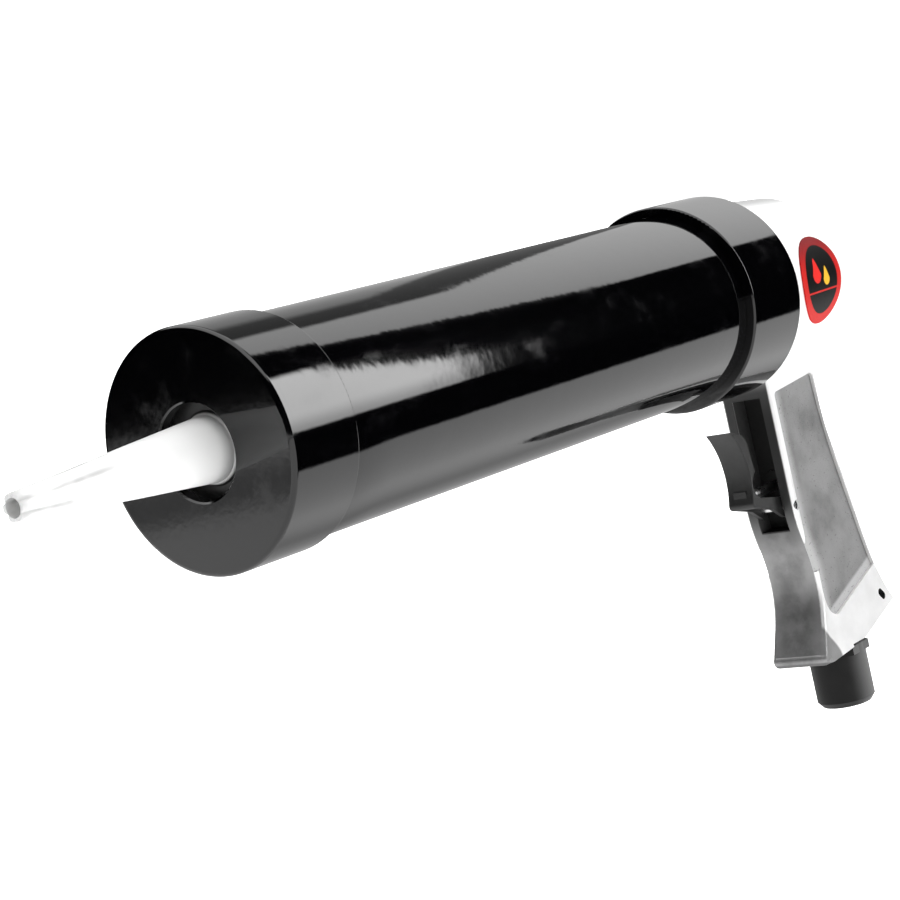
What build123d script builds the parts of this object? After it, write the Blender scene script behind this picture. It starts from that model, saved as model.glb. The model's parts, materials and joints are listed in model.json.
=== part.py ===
"""Air-powered caulking gun for one 300 ml sealant cartridge.

Frame: millimetres, +Z up, the barrel along X with the nozzle towards -X. The origin is the centre of the
air inlet's mouth, under the pistol handle.
"""

import os

from build123d import *

os.makedirs("parts", exist_ok=True)

# Barrel line
AXIS_Z = 131.0
FRONT_X = -250.0
BARREL_R = 27.0
BARREL_BORE_R = 25.2
BARREL_FRONT_X = -244.0
BARREL_REAR_X = -38.0
THREAD_GAP = 0.06

# Front cap and its gasket
CAP_R = 28.5
CAP_LENGTH = 22.3
CAP_FACE = 3.0
CAP_HOLE_R = 11.3
CAP_EDGE_FILLET = 1.1
CAP_HOLE_CHAMFER = 0.4
GASKET = 2.0
GASKET_BORE_R = 12.4
GASKET_R = 26.6

# Rear collar
COLLAR_R = 29.7
COLLAR_FRONT_X = -53.6
COLLAR_REAR_X = -27.5
COLLAR_EDGE_FILLET = 0.6
BARREL_CHAMFER = 0.35

# Sealant cartridge
TUBE_R = 24.8
TUBE_WALL = 1.1
TUBE_REAR_X = -30.0
END_PLATE = 2.5
SKIRT_DEPTH = 6.0
SKIRT = 1.2
NOZZLE_TIP_X = -305.0
NOZZLE_ROOT_R = 7.7
NOZZLE_TIP_R = 3.3
NOZZLE_WALL = 1.3
PLUNGER_REAR_X = -36.0
PLUNGER_LENGTH = 14.0
PLUNGER_NOSE = 3.0
PLUNGER_LAND = 2.0
PLUNGER_WAIST = 0.8
PLUNGER_FLOOR = 2.5
PLUNGER_WALL = 2.2

# Head of the casting
SEAL = 1.5
SPIGOT_FRONT_X = BARREL_REAR_X + SEAL
DRUM_FRONT_R = 26.9
DRUM_REAR_X = 7.0
DRUM_REAR_R = 24.9
SHOULDER_X = 20.0
SHOULDER_R = 18.5
BOSS_R = 17.0
BOSS_REAR_X = 27.0

# Pistol handle: side view outline, its half-width above and at the base, sunken side panels, hang hole
GRIP_FRONT_X = -20.6
GRIP_REAR_X = 8.4
GRIP_TOP_Z = 112.0
GRIP_HALF = 8.6
GRIP_BASE_HALF = 9.4
GRIP_FLARE_Z = 44.0
GRIP_BASE_Z = 16.0
GRIP_BOTTOM_FRONT = (-21.0, 17.0)
GRIP_BOTTOM_MIDDLE = (2.0, 18.6)
GRIP_CORNER = (27.3, 26.2)
GRIP_TOE = (-22.6, 18.2)
FRONT_CURVE = [(GRIP_FRONT_X, 66), (-17.4, 50), (-16.3, 39), (-19.0, 28), (-22.2, 20.5)]
REAR_CURVE = [GRIP_CORNER, (20.9, 38), (16.6, 53), (10.4, 79), (GRIP_REAR_X, 94)]
FINGER_EDGE_FILLET = 1.4
BACK_EDGE_FILLET = 2.6
PANEL_DEPTH = 0.9
PANEL_TOP = [(-18.3, 99.5), (5.6, 101.5)]
PANEL_BACK = [(7.9, 79), (14.1, 53), (17.3, 41), (18.2, 38.5)]
PANEL_LOW = (-8.6, 29.6)
PANEL_FRONT = [(-14.3, 34), (-14.7, 44), (-18.3, 62)]
HANG_HOLE = (19.0, 28.6)
HANG_HOLE_LENGTH = 4.2
HANG_HOLE_WIDTH = 2.4
HANG_HOLE_TILT = 135.0
SLOT_HALF = 4.75
SLOT_TOP_Z = 98.7
SLOT_LOW_Z = 58.4
SLOT_FLOOR_X = -14.0
SLOT_REACH = 26.6

# Trigger and valve
PIVOT_X = -18.7
PIVOT_Z = 65.6
PIN_R = 1.5
RUNNING_GAP = 0.05
TRIGGER_HALF = 4.3
TRIGGER_SHEET = 1.3
VALVE_Z = 71.5
STEM_R = 1.5
STEM_TIP_X = -32.5
VALVE_SEAT_X = -5.0
VALVE_CHAMBER_R = 4.0
VALVE_BUSH_R = 4.5

# Trigger side view: finger pad, heel, the eye round its pin, the scallop behind the pad, flange top
PAD_TOP = (-39.9, 92.3)
PAD_MIDDLE = (-34.3, 79.4)
PAD_FOOT = (-36.1, 68.9)
PAD_TOP_FILLET = 0.6
PAD_FOOT_FILLET = 1.5
PAD_EDGE_FILLET = 0.5
HEEL = (-25.5, 66.2)
EYE_R = 3.1
EYE_LOW = (-20.5, PIVOT_Z - 2.6)
EYE_HIGH = (-19.1, PIVOT_Z + EYE_R)
SCALLOP = [(-29.6, 70.6), (-33.6, 74.6), (-31.0, 78.8)]
FLANGE_TOP = [(-32.1, 88.0), (-33.9, 90.3)]
TROUGH_TOP_Z = 95.0
TROUGH_LOW_Z = 66.0
TROUGH_REAR_X = -12.0
NUB_HEIGHT = 4.6
NUB_LENGTH = 2.4
NUB_HALF = 2.2

# Trigger valve, as places along X and radii about the stem
BUSH_FRONT_X = SLOT_FLOOR_X - 0.5
STEM_RING_X = -12.9
STEM_RING_R = 2.0
STEM_RING_CORD = 0.42
STEM_GROOVE_R = 2.45
BUSH_WAIST_X = -11.2
BUSH_WAIST_R = 3.6
BUSH_BORE_R = 2.7
BUSH_LAND_X = -7.6
BUSH_RING_X = -6.0
BUSH_RING_R = 4.08
BUSH_RING_CORD = 0.46
BUSH_PORT_R = 1.1
STEM_HEAD_R = 3.4
STEM_HEAD = 1.6
STEM_TAIL_R = 1.9
STEM_TAIL = 1.8
STEM_SEAL = 0.8

# Air inlet: a quarter inch pipe thread, shown at its tapping size
INLET_R = 8.85
INLET_CHAMFER = 1.4
INLET_HEX_Z = 15.6
INLET_HEX_R = 10.1
INLET_SEAL = 0.8
STUB_R = 6.5
STUB_TOP_Z = 30.0
STUB_WALL = 2.3
RELIEF_R = 6.0
SCREEN_Z = 15.0
SCREEN = 0.8
SCREEN_SEAT_R = 5.0
SCREEN_HOLE_R = 0.5
SCREEN_RING_STEP = 1.6
SPOTFACE_R = 10.4
INLET_TAP_R = 5.56
INLET_TAP_DEPTH = 14.0
AIRWAY_R = 3.0
SPOTFACE_Z = 19.0

# Airways in the casting
CHAMBER_FLOOR_X = -28.0
OUTLET_OFFSET = 13.0
OUTLET_R = 2.0
VALVE_CHAMBER_END_X = 5.0
OUTLET_AIRWAY_X = -9.5
OUTLET_AIRWAY_R = 1.8

# Regulator in the head, from the front: plug, poppet, piston, spring, button, bonnet, screw and knob
POPPET_BORE_R = 10.0
POPPET_BORE_END_X = -6.0
PISTON_BORE_R = 12.0
PISTON_BORE_START_X = 2.0
PORT_R = 3.0
KNOB_R = 13.0
PLUG_REAR_X = CHAMBER_FLOOR_X + 5.0
PLUG_RING_X = -25.9
PLUG_RING_R = 9.45
PLUG_GROOVE_R = 8.9
PLUG_RECESS = 1.6
PLUG_RECESS_R = 5.2
PLUG_SLOT_LENGTH = 14.0
PLUG_SLOT_WIDTH = 2.0
PLUG_SLOT_DEPTH = 1.4
POPPET_R = 5.0
POPPET_SEAL = 0.8
POPPET_HEAD = 1.6
POPPET_LENGTH = 7.0
POPPET_GUIDE_R = 2.2
POPPET_STEM_R = 1.4
PISTON_FRONT_X = 3.2
PISTON_REAR_X = 9.0
PISTON_SEAT_X = 7.2
PISTON_SEAT_R = 9.0
PISTON_RING_X = 5.1
PISTON_RING_R = 11.43
PISTON_GROOVE_R = 10.9
RING_CORD = 0.5
GROOVE_HALF = 0.7
BUTTON_FRONT_X = 22.0
BUTTON_REAR_X = 24.0
BUTTON_R = 8.6
BUTTON_NOSE = 2.0
BUTTON_NOSE_R = 5.0
BONNET_SEAL = 0.8
BONNET_SEAL_R = 13.9
BONNET_FRONT_X = 21.0
BONNET_ROOF_X = 25.6
BONNET_BORE_R = 9.0
BONNET_FLANGE_X = BOSS_REAR_X + BONNET_SEAL
BONNET_REAR_X = BONNET_FLANGE_X + 1.2
BONNET_R = 15.6
BONNET_FLATS = 28.2
KNOB_FRONT_X = 31.8
KNOB_REAR_X = 38.8
KNOB_CHAMFER = 1.2
KNOB_RECESS_R = 3.2
KNOB_FLUTES = 24
FLUTE_R = 1.1
SCREW_R = 4.0
SCREW_REAR_X = KNOB_REAR_X - 3.4
SCREW_CHAMFER = 0.6
KNOB_SCREW_R = 1.5
KNOB_SCREW_HEAD_R = 3.0
KNOB_SCREW_HEAD = 1.5
KNOB_SCREW_SOCKET_R = 1.4
TAPPED_DEPTH = 7.0

# Round label
LABEL_X = -7.0
LABEL_Z = 129.3
LABEL_R = 12.8
LABEL_GAP = 0.02
LABEL_THICKNESS = 0.35

# Trigger nub, clear of the stem by this much at rest
TRIGGER_NUB_GAP = 0.12

BARREL_AXIS = Axis((0, 0, AXIS_Z), (1, 0, 0))
TURNING_PLANE = Plane(origin=(0, 0, AXIS_Z), x_dir=(1, 0, 0), z_dir=(0, -1, 0))
VALVE_AXIS = Axis((0, 0, VALVE_Z), (1, 0, 0))
VALVE_PLANE = Plane(origin=(0, 0, VALVE_Z), x_dir=(1, 0, 0), z_dir=(0, -1, 0))


def outline(points, plane):
    """A closed face from straight runs between points on a plane."""
    with BuildSketch(plane) as face:
        with BuildLine():
            Polyline(*points, close=True)
        make_face()
    return face.sketch


def turned(points, plane=TURNING_PLANE):
    """A face of (distance along X, radius) points, ready to revolve about the plane's X line."""
    return outline(points, plane)


def ring_points(start_x, end_x, inner_r, outer_r):
    """The four corners of a plain ring's section."""
    return [(start_x, inner_r), (end_x, inner_r), (end_x, outer_r), (start_x, outer_r)]


def o_ring_face(centre_x, centre_r, cord_r, plane=TURNING_PLANE):
    """The round section of an O-ring, ready to revolve."""
    with BuildSketch(plane) as face:
        with Locations((centre_x, centre_r)):
            Circle(cord_r)
    return face.sketch


def coil_spring(start_x, end_x, mean_r, wire_r, turns, centre_z):
    """A helical compression spring along X between two X positions, as one swept wire."""
    pitch = (end_x - start_x - 2 * wire_r) / turns
    path = Helix(
        pitch=pitch,
        height=pitch * turns,
        radius=mean_r,
        center=(start_x + wire_r, 0, centre_z),
        direction=(1, 0, 0),
    )
    section_plane = Plane(origin=path @ 0, z_dir=path % 0)
    with BuildSketch(section_plane) as wire:
        Circle(wire_r)
    return sweep(wire.sketch, path=path, is_frenet=True)


def finish(builder, name):
    """Labels a finished piece and writes it."""
    builder.part.label = name
    export_step(builder.part, f"parts/{name}.step")


# ---------------------------------------------------------------- barrel line

with BuildPart() as front_cap:
    cap_rear_x = FRONT_X + CAP_LENGTH
    cap_bore_r = BARREL_R + THREAD_GAP
    revolve(
        turned(
            [
                (FRONT_X, CAP_HOLE_R),
                (FRONT_X, CAP_R),
                (cap_rear_x, CAP_R),
                (cap_rear_x, cap_bore_r),
                (FRONT_X + CAP_FACE, cap_bore_r),
                (FRONT_X + CAP_FACE, CAP_HOLE_R),
            ]
        ),
        axis=BARREL_AXIS,
    )
    front_edges = front_cap.edges().filter_by(GeomType.CIRCLE).group_by(Axis.X)[0]
    fillet(front_edges.sort_by(SortBy.RADIUS)[-1], radius=CAP_EDGE_FILLET)
    front_edges = front_cap.edges().filter_by(GeomType.CIRCLE).group_by(Axis.X)[0]
    chamfer(front_edges.sort_by(SortBy.RADIUS)[0], length=CAP_HOLE_CHAMFER)
    rear_edges = front_cap.edges().filter_by(GeomType.CIRCLE).group_by(Axis.X)[-1]
    fillet(rear_edges.sort_by(SortBy.RADIUS)[-1], radius=CAP_HOLE_CHAMFER)
finish(front_cap, "front_cap")

with BuildPart() as cap_gasket:
    gasket_front_x = FRONT_X + CAP_FACE
    revolve(
        turned(ring_points(gasket_front_x, gasket_front_x + GASKET, GASKET_BORE_R, GASKET_R)),
        axis=BARREL_AXIS,
    )
finish(cap_gasket, "cap_gasket")

with BuildPart() as barrel:
    revolve(
        turned(ring_points(BARREL_FRONT_X, BARREL_REAR_X, BARREL_BORE_R, BARREL_R)),
        axis=BARREL_AXIS,
    )
    chamfer(barrel.edges().filter_by(GeomType.CIRCLE), length=BARREL_CHAMFER)
finish(barrel, "barrel")

with BuildPart() as barrel_seal:
    revolve(
        turned(ring_points(BARREL_REAR_X, SPIGOT_FRONT_X, BARREL_BORE_R, BARREL_R - 0.2)),
        axis=BARREL_AXIS,
    )
finish(barrel_seal, "barrel_seal")

with BuildPart() as rear_collar:
    revolve(
        turned(ring_points(COLLAR_FRONT_X, COLLAR_REAR_X, BARREL_R + THREAD_GAP, COLLAR_R)),
        axis=BARREL_AXIS,
    )
    outer_edges = rear_collar.edges().filter_by(GeomType.CIRCLE).sort_by(SortBy.RADIUS)[-2:]
    fillet(outer_edges, radius=COLLAR_EDGE_FILLET)
finish(rear_collar, "rear_collar")

# ---------------------------------------------------------------- cartridge

TUBE_FRONT_X = FRONT_X + CAP_FACE + GASKET + END_PLATE
TUBE_BORE_R = TUBE_R - TUBE_WALL

with BuildPart() as cartridge_tube:
    revolve(
        turned(ring_points(TUBE_FRONT_X, TUBE_REAR_X, TUBE_BORE_R, TUBE_R)),
        axis=BARREL_AXIS,
    )
finish(cartridge_tube, "cartridge_tube")

with BuildPart() as cartridge_nozzle:
    plate_front_x = FRONT_X + CAP_FACE + GASKET
    skirt_r = TUBE_BORE_R - 0.05
    skirt_rear_x = TUBE_FRONT_X + SKIRT_DEPTH
    nozzle_root_x = plate_front_x - 1.0
    bore_root_r = NOZZLE_ROOT_R - NOZZLE_WALL
    bore_tip_r = NOZZLE_TIP_R - NOZZLE_WALL + 0.2
    revolve(
        turned(
            [
                (NOZZLE_TIP_X, bore_tip_r),
                (NOZZLE_TIP_X, NOZZLE_TIP_R),
                (nozzle_root_x, NOZZLE_ROOT_R),
                (plate_front_x, NOZZLE_ROOT_R + 1.0),
                (plate_front_x, TUBE_R),
                (TUBE_FRONT_X, TUBE_R),
                (TUBE_FRONT_X, skirt_r),
                (skirt_rear_x, skirt_r),
                (skirt_rear_x, skirt_r - SKIRT),
                (TUBE_FRONT_X, skirt_r - SKIRT),
                (TUBE_FRONT_X, bore_root_r),
                (nozzle_root_x, bore_root_r),
            ]
        ),
        axis=BARREL_AXIS,
    )
finish(cartridge_nozzle, "cartridge_nozzle")

with BuildPart() as cartridge_plunger:
    plunger_front_x = PLUNGER_REAR_X - PLUNGER_LENGTH
    plunger_r = TUBE_BORE_R - RUNNING_GAP
    waist_front_x = plunger_front_x + PLUNGER_NOSE + PLUNGER_LAND + 0.5
    waist_rear_x = PLUNGER_REAR_X - PLUNGER_LAND - 0.5
    revolve(
        turned(
            [
                (plunger_front_x, 0),
                (plunger_front_x, plunger_r - PLUNGER_NOSE),
                (plunger_front_x + PLUNGER_NOSE, plunger_r),
                (plunger_front_x + PLUNGER_NOSE + PLUNGER_LAND, plunger_r),
                (waist_front_x, plunger_r - PLUNGER_WAIST),
                (waist_rear_x, plunger_r - PLUNGER_WAIST),
                (PLUNGER_REAR_X - PLUNGER_LAND, plunger_r),
                (PLUNGER_REAR_X, plunger_r),
                (PLUNGER_REAR_X, plunger_r - PLUNGER_WALL),
                (plunger_front_x + PLUNGER_FLOOR, plunger_r - 2 * PLUNGER_WALL),
                (plunger_front_x + PLUNGER_FLOOR, 0),
            ]
        ),
        axis=BARREL_AXIS,
    )
finish(cartridge_plunger, "cartridge_plunger")

# ---------------------------------------------------------------- head and handle casting

HEAD_SECTION = [
    (SPIGOT_FRONT_X, 0),
    (SPIGOT_FRONT_X, BARREL_R - 0.05),
    (COLLAR_REAR_X, BARREL_R - 0.05),
    (COLLAR_REAR_X, DRUM_FRONT_R),
    (DRUM_REAR_X, DRUM_REAR_R),
    (SHOULDER_X, SHOULDER_R),
    (SHOULDER_X, BOSS_R),
    (BOSS_REAR_X, BOSS_R),
    (BOSS_REAR_X, 0),
]

with BuildPart() as handle_casting:
    # the grip's side view, then its front view, which flares at the base
    with BuildSketch(Plane.XZ):
        with BuildLine():
            Line((GRIP_REAR_X, GRIP_TOP_Z), (GRIP_FRONT_X, GRIP_TOP_Z))
            Line((GRIP_FRONT_X, GRIP_TOP_Z), FRONT_CURVE[0])
            Spline(*FRONT_CURVE, tangents=[(0, -1), (-0.35, -1)])
            ThreePointArc(FRONT_CURVE[-1], GRIP_TOE, GRIP_BOTTOM_FRONT)
            Line(GRIP_BOTTOM_FRONT, GRIP_BOTTOM_MIDDLE)
            Line(GRIP_BOTTOM_MIDDLE, GRIP_CORNER)
            Spline(*REAR_CURVE, tangents=[(-0.75, 1), (0, 1)])
            Line(REAR_CURVE[-1], (GRIP_REAR_X, GRIP_TOP_Z))
        make_face()
    extrude(amount=GRIP_BASE_HALF + 1, both=True)
    above_grip_z = GRIP_TOP_Z + 5
    flare_start = (GRIP_HALF, GRIP_FLARE_Z)
    flare_end = (GRIP_BASE_HALF, GRIP_BASE_Z)
    with BuildSketch(Plane.YZ):
        with BuildLine():
            Line((0, above_grip_z), (GRIP_HALF, above_grip_z))
            Line((GRIP_HALF, above_grip_z), flare_start)
            Spline(flare_start, flare_end, tangents=[(0, -1), (0.08, -1)])
            Line(flare_end, (0, GRIP_BASE_Z))
            mirror(about=Plane.YZ)
        make_face()
    extrude(amount=60, both=True, mode=Mode.INTERSECT)

    # rounded finger edges down the front and round the toe, rounder edges along the back
    side_edges = handle_casting.edges().filter_by(lambda edge: abs(edge.center().Y) > GRIP_HALF - 0.1)
    front_edges = side_edges.filter_by(lambda edge: edge.center().X < -15)
    back_edges = side_edges.filter_by(lambda edge: edge.center().X > 8 and edge.center().Z > 40)
    fillet(front_edges, radius=FINGER_EDGE_FILLET)
    fillet(back_edges, radius=BACK_EDGE_FILLET)

    # sunken panel on each side, inside a raised rim
    for side in (1, -1):
        with BuildSketch(Plane.XZ.offset(side * (GRIP_HALF - PANEL_DEPTH))):
            with BuildLine():
                Line(PANEL_FRONT[-1], PANEL_TOP[0])
                Line(*PANEL_TOP)
                Spline(PANEL_TOP[-1], *PANEL_BACK)
                Line(PANEL_BACK[-1], PANEL_LOW)
                Spline(PANEL_LOW, *PANEL_FRONT, tangents=[(-1, 0.1), (0, 1)])
            panel = make_face()
            fillet(panel.vertices().sort_by(Axis.Y)[-2:], radius=1.5)
        extrude(amount=side * 6, mode=Mode.SUBTRACT)

    # the turned head, its draft and its stepped rear
    revolve(turned(HEAD_SECTION), axis=BARREL_AXIS)

    # chamber behind the cartridge, poppet bore from the front, piston bore from the rear, port between
    revolve(
        turned(ring_points(SPIGOT_FRONT_X, CHAMBER_FLOOR_X, 0, BARREL_BORE_R)),
        axis=BARREL_AXIS,
        mode=Mode.SUBTRACT,
    )
    revolve(
        turned(ring_points(CHAMBER_FLOOR_X, POPPET_BORE_END_X, 0, POPPET_BORE_R)),
        axis=BARREL_AXIS,
        mode=Mode.SUBTRACT,
    )
    revolve(
        turned(ring_points(PISTON_BORE_START_X, BOSS_REAR_X, 0, PISTON_BORE_R)),
        axis=BARREL_AXIS,
        mode=Mode.SUBTRACT,
    )
    revolve(
        turned(ring_points(POPPET_BORE_END_X, PISTON_BORE_START_X, 0, PORT_R)),
        axis=BARREL_AXIS,
        mode=Mode.SUBTRACT,
    )
    with BuildSketch(Plane.YZ.offset(CHAMBER_FLOOR_X)):
        with Locations((0, AXIS_Z + OUTLET_OFFSET)):
            Circle(OUTLET_R)
    extrude(amount=PISTON_BORE_START_X + 1.5 - CHAMBER_FLOOR_X, mode=Mode.SUBTRACT)

    # trigger slot, valve bore, airways and pin holes
    with BuildSketch(Plane.XZ):
        with Locations((SLOT_FLOOR_X, SLOT_LOW_Z)):
            Rectangle(SLOT_REACH, SLOT_TOP_Z - SLOT_LOW_Z, align=(Align.MAX, Align.MIN))
    extrude(amount=SLOT_HALF, both=True, mode=Mode.SUBTRACT)
    revolve(
        turned(ring_points(SLOT_FLOOR_X - 1, VALVE_SEAT_X, 0, VALVE_BUSH_R + THREAD_GAP), VALVE_PLANE),
        axis=VALVE_AXIS,
        mode=Mode.SUBTRACT,
    )
    revolve(
        turned(ring_points(VALVE_SEAT_X, VALVE_CHAMBER_END_X, 0, VALVE_CHAMBER_R), VALVE_PLANE),
        axis=VALVE_AXIS,
        mode=Mode.SUBTRACT,
    )
    with BuildSketch(Plane.XY.offset(VALVE_Z)):
        with Locations((OUTLET_AIRWAY_X, 0)):
            Circle(OUTLET_AIRWAY_R)
    extrude(amount=AXIS_Z - POPPET_BORE_R + 2 - VALVE_Z, mode=Mode.SUBTRACT)
    with BuildSketch(Plane.XY):
        Circle(AIRWAY_R)
    extrude(amount=VALVE_Z, mode=Mode.SUBTRACT)
    with BuildSketch(Plane.XY):
        Circle(STUB_R + THREAD_GAP)
    extrude(amount=STUB_TOP_Z + 1, mode=Mode.SUBTRACT)
    with BuildSketch(Plane.XY):
        Circle(SPOTFACE_R)
    extrude(amount=SPOTFACE_Z, mode=Mode.SUBTRACT)
    with BuildSketch(Plane.XZ):
        with Locations((PIVOT_X, PIVOT_Z)):
            Circle(PIN_R + 0.01)
        with Locations(Location(HANG_HOLE, HANG_HOLE_TILT)):
            SlotOverall(HANG_HOLE_LENGTH, HANG_HOLE_WIDTH)
    extrude(amount=GRIP_BASE_HALF + 2, both=True, mode=Mode.SUBTRACT)
finish(handle_casting, "handle_casting")

# ---------------------------------------------------------------- round label on the head's side


def drum_radius(x):
    """The head's drafted radius at a place along the barrel line."""
    share = (x - COLLAR_REAR_X) / (DRUM_REAR_X - COLLAR_REAR_X)
    return DRUM_FRONT_R + share * (DRUM_REAR_R - DRUM_FRONT_R)


with BuildPart() as side_label:
    label_front_x = LABEL_X - LABEL_R - 1
    label_rear_x = LABEL_X + LABEL_R + 1
    revolve(
        turned(
            [
                (label_front_x, drum_radius(label_front_x) + LABEL_GAP),
                (label_rear_x, drum_radius(label_rear_x) + LABEL_GAP),
                (label_rear_x, drum_radius(label_rear_x) + LABEL_GAP + LABEL_THICKNESS),
                (label_front_x, drum_radius(label_front_x) + LABEL_GAP + LABEL_THICKNESS),
            ]
        ),
        axis=BARREL_AXIS,
    )
    with BuildSketch(Plane.XZ):
        with Locations((LABEL_X, LABEL_Z)):
            Circle(LABEL_R)
    extrude(amount=COLLAR_R, mode=Mode.INTERSECT)
finish(side_label, "side_label")

# ---------------------------------------------------------------- trigger

with BuildPart() as trigger:
    with BuildSketch(Plane.XZ):
        with BuildLine():
            ThreePointArc(PAD_TOP, PAD_MIDDLE, PAD_FOOT)
            Polyline(PAD_FOOT, HEEL, EYE_LOW)
            ThreePointArc(EYE_LOW, (PIVOT_X + EYE_R, PIVOT_Z), EYE_HIGH)
            Line(EYE_HIGH, SCALLOP[0])
            ThreePointArc(*SCALLOP)
            Polyline(SCALLOP[-1], *FLANGE_TOP, PAD_TOP)
        side_face = make_face()
        fillet(side_face.vertices().sort_by_distance(PAD_FOOT)[0], radius=PAD_FOOT_FILLET)
        fillet(side_face.vertices().sort_by_distance(PAD_TOP)[0], radius=PAD_TOP_FILLET)
    extrude(amount=TRIGGER_HALF, both=True)
    side_edges = trigger.edges().filter_by(lambda edge: abs(edge.center().Y) > TRIGGER_HALF - 0.1)
    pad_edges = side_edges.filter_by(GeomType.CIRCLE).filter_by(lambda edge: edge.center().X < PAD_MIDDLE[0])
    fillet(pad_edges, radius=PAD_EDGE_FILLET)
    # the trough behind the pad leaves a sheet of even thickness and two flanges
    trough_top = (PAD_TOP[0] + TRIGGER_SHEET + 0.2, TROUGH_TOP_Z)
    trough_middle = (PAD_MIDDLE[0] + TRIGGER_SHEET, PAD_MIDDLE[1] - 0.2)
    trough_low = (PAD_FOOT[0] + TRIGGER_SHEET + 1.1, TROUGH_LOW_Z)
    with BuildSketch(Plane.XZ):
        with BuildLine():
            ThreePointArc(trough_top, trough_middle, trough_low)
            Polyline(trough_low, (TROUGH_REAR_X, TROUGH_LOW_Z - 6), (TROUGH_REAR_X, TROUGH_TOP_Z), trough_top)
        make_face()
    extrude(amount=TRIGGER_HALF - TRIGGER_SHEET, both=True, mode=Mode.SUBTRACT)
    # the nub that pushes the valve stem
    with BuildSketch(Plane.XZ):
        with Locations((STEM_TIP_X - TRIGGER_NUB_GAP, VALVE_Z)):
            Rectangle(NUB_LENGTH, NUB_HEIGHT, align=(Align.MAX, Align.CENTER))
    extrude(amount=NUB_HALF, both=True)
    with BuildSketch(Plane.XZ):
        with Locations((PIVOT_X, PIVOT_Z)):
            Circle(PIN_R + RUNNING_GAP)
    extrude(amount=TRIGGER_HALF + 1, both=True, mode=Mode.SUBTRACT)
finish(trigger, "trigger")

with BuildPart() as trigger_pin:
    with BuildSketch(Plane.XZ):
        with Locations((PIVOT_X, PIVOT_Z)):
            Circle(PIN_R)
    extrude(amount=GRIP_HALF - PANEL_DEPTH - 0.3, both=True)
    chamfer(trigger_pin.edges().filter_by(GeomType.CIRCLE), length=0.3)
finish(trigger_pin, "trigger_pin")

# ---------------------------------------------------------------- trigger valve

STEM_BORE_R = STEM_R + RUNNING_GAP
STEM_HEAD_X = VALVE_SEAT_X + STEM_SEAL

with BuildPart() as valve_bush:
    revolve(
        turned(
            [
                (BUSH_FRONT_X, STEM_BORE_R),
                (STEM_RING_X - 0.5, STEM_BORE_R),
                (STEM_RING_X - 0.5, STEM_GROOVE_R),
                (STEM_RING_X + 0.5, STEM_GROOVE_R),
                (STEM_RING_X + 0.5, STEM_BORE_R),
                (BUSH_WAIST_X, STEM_BORE_R),
                (BUSH_WAIST_X, BUSH_BORE_R),
                (VALVE_SEAT_X, BUSH_BORE_R),
                (VALVE_SEAT_X, VALVE_BUSH_R),
                (BUSH_RING_X + 0.6, VALVE_BUSH_R),
                (BUSH_RING_X + 0.6, BUSH_WAIST_R),
                (BUSH_RING_X - 0.6, BUSH_WAIST_R),
                (BUSH_RING_X - 0.6, VALVE_BUSH_R),
                (BUSH_LAND_X, VALVE_BUSH_R),
                (BUSH_LAND_X, BUSH_WAIST_R),
                (BUSH_WAIST_X, BUSH_WAIST_R),
                (BUSH_WAIST_X, VALVE_BUSH_R),
                (BUSH_FRONT_X, VALVE_BUSH_R),
            ],
            VALVE_PLANE,
        ),
        axis=VALVE_AXIS,
    )
    with BuildSketch(Plane.XY.offset(VALVE_Z)):
        with Locations((OUTLET_AIRWAY_X, 0)):
            Circle(BUSH_PORT_R)
    extrude(amount=VALVE_BUSH_R + 1, both=True, mode=Mode.SUBTRACT)
finish(valve_bush, "valve_bush")

with BuildPart() as stem_ring:
    revolve(o_ring_face(STEM_RING_X, STEM_RING_R, STEM_RING_CORD, VALVE_PLANE), axis=VALVE_AXIS)
finish(stem_ring, "stem_ring")

with BuildPart() as bush_ring:
    revolve(o_ring_face(BUSH_RING_X, BUSH_RING_R, BUSH_RING_CORD, VALVE_PLANE), axis=VALVE_AXIS)
finish(bush_ring, "bush_ring")

with BuildPart() as valve_stem:
    dome_x = STEM_TIP_X + STEM_R
    head_rear_x = STEM_HEAD_X + STEM_HEAD
    tail_x = head_rear_x + STEM_TAIL
    with BuildSketch(VALVE_PLANE):
        with BuildLine():
            RadiusArc((STEM_TIP_X, 0), (dome_x, STEM_R), STEM_R)
            Polyline(
                (dome_x, STEM_R),
                (STEM_HEAD_X, STEM_R),
                (STEM_HEAD_X, STEM_HEAD_R),
                (head_rear_x, STEM_HEAD_R),
                (head_rear_x, STEM_TAIL_R),
                (tail_x, STEM_TAIL_R),
                (tail_x, 0),
                (STEM_TIP_X, 0),
            )
        make_face()
    revolve(axis=VALVE_AXIS)
finish(valve_stem, "valve_stem")

with BuildPart() as valve_seal:
    revolve(
        turned(ring_points(VALVE_SEAT_X, STEM_HEAD_X, STEM_R, STEM_HEAD_R), VALVE_PLANE),
        axis=VALVE_AXIS,
    )
finish(valve_seal, "valve_seal")

with BuildPart() as valve_spring:
    spring_front_x = STEM_HEAD_X + STEM_HEAD + 0.1
    add(coil_spring(spring_front_x, VALVE_CHAMBER_END_X - 0.1, 2.75, 0.35, 5, VALVE_Z))
finish(valve_spring, "valve_spring")

# ---------------------------------------------------------------- air inlet

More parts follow.
